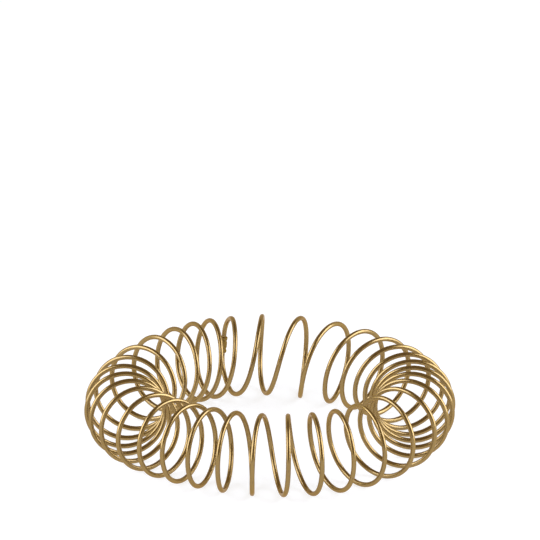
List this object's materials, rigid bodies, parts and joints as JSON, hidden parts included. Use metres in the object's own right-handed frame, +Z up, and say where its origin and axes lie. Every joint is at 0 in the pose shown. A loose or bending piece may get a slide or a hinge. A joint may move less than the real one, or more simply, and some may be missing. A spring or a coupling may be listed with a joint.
{
  "type": "candle ring",
  "caption": "Open coil of round brass wire bent into a closed ring that stands on the table round the foot of a pillar candle.",
  "frame": {"origin": "centre of the ring, on the surface that it stands on", "axes": "+Z up, +X to the right and +Y away from the side that the picture shows"},
  "size_m": [0.1372, 0.1474, 0.0307],
  "materials": {
    "wire_brass": "satin drawn wire",
    "sleeve_brass": "satin, pressed"
  },
  "bodies": {
    "root": {"coil_wire": "wire_brass", "joining_sleeve": "sleeve_brass"}
  },
  "joints": []
}
